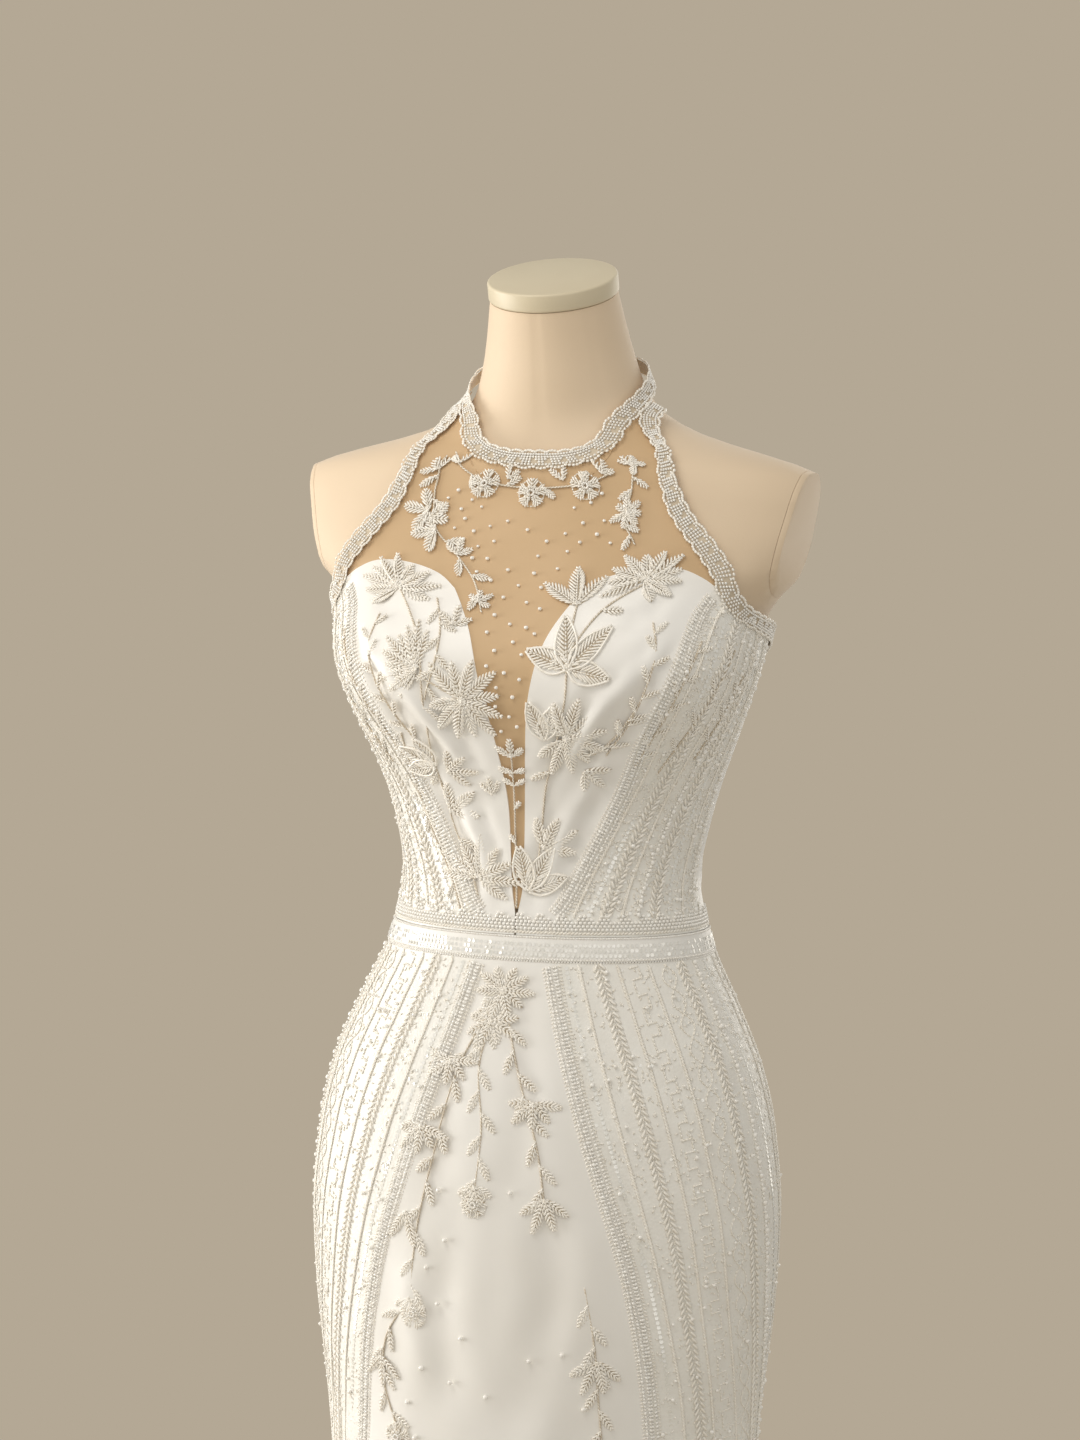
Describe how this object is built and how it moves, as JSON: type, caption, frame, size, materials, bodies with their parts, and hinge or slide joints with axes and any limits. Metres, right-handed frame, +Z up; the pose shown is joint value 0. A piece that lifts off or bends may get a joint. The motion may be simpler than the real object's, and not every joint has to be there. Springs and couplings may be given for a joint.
{
  "type": "mermaid gown on a limbless dress form",
  "caption": "Floor-length halter mermaid gown in satin with sheer yoke, deep plunge and beaded leaf applique, standing on a limbless dress form with pole and round base.",
  "frame": {"origin": "centre of the stand base's underside, on the floor and on the pole's axis", "axes": "+Z up, the gown's front faces -Y and its left side is +X"},
  "size_m": [0.7509, 0.745, 1.5985],
  "materials": {
    "satin": "ivory duchess satin with a soft sheen",
    "beaded_satin": "ivory satin covered with small beads and sequins",
    "sheer_mesh": "nude fine mesh with a few pearls",
    "beading": "seed beads and pearls in ivory",
    "form_cloth": "smooth cream jersey",
    "form_cap": "cream lacquer",
    "stand_paint": "cream paint"
  },
  "bodies": {
    "root": {"form_torso": "form_cloth", "form_arm_plate_left": "form_cloth", "form_arm_plate_right": "form_cloth", "form_neck_cap": "form_cap", "stand_pole": "stand_paint", "stand_base": "stand_paint", "yoke_mesh": "sheer_mesh", "bodice_front_left": "satin", "bodice_side_left": "beaded_satin", "bodice_back_left": "satin", "bodice_front_right": "satin", "bodice_side_right": "beaded_satin", "bodice_back_right": "satin", "neck_band": "beading", "armhole_band_left": "beading", "armhole_band_right": "beading", "waist_band_front": "satin", "waist_band_back_left": "satin", "waist_band_back_right": "satin", "waist_border_front": "beading", "waist_border_back_left": "beading", "waist_border_back_right": "beading", "skirt_front": "satin", "skirt_side_front_left": "beaded_satin", "skirt_side_back_left": "beaded_satin", "skirt_back_left": "satin", "skirt_side_front_right": "beaded_satin", "skirt_side_back_right": "beaded_satin", "skirt_back_right": "satin", "collar_garland": "beading", "yoke_spray_right": "beading", "yoke_spray_left": "beading", "plunge_spray": "beading", "bodice_spray_left": "beading", "bodice_spray_right": "beading", "skirt_spray_front": "beading", "back_spray_left": "beading", "skirt_back_spray_left": "beading", "back_spray_right": "beading", "skirt_back_spray_right": "beading", "back_button_1": "satin", "back_button_2": "satin", "back_button_3": "satin", "back_button_4": "satin", "back_button_5": "satin", "back_button_6": "satin", "back_button_7": "satin", "back_button_8": "satin", "back_button_9": "satin", "back_button_10": "satin", "back_button_11": "satin", "back_button_12": "satin", "nape_button": "satin"}
  },
  "joints": []
}
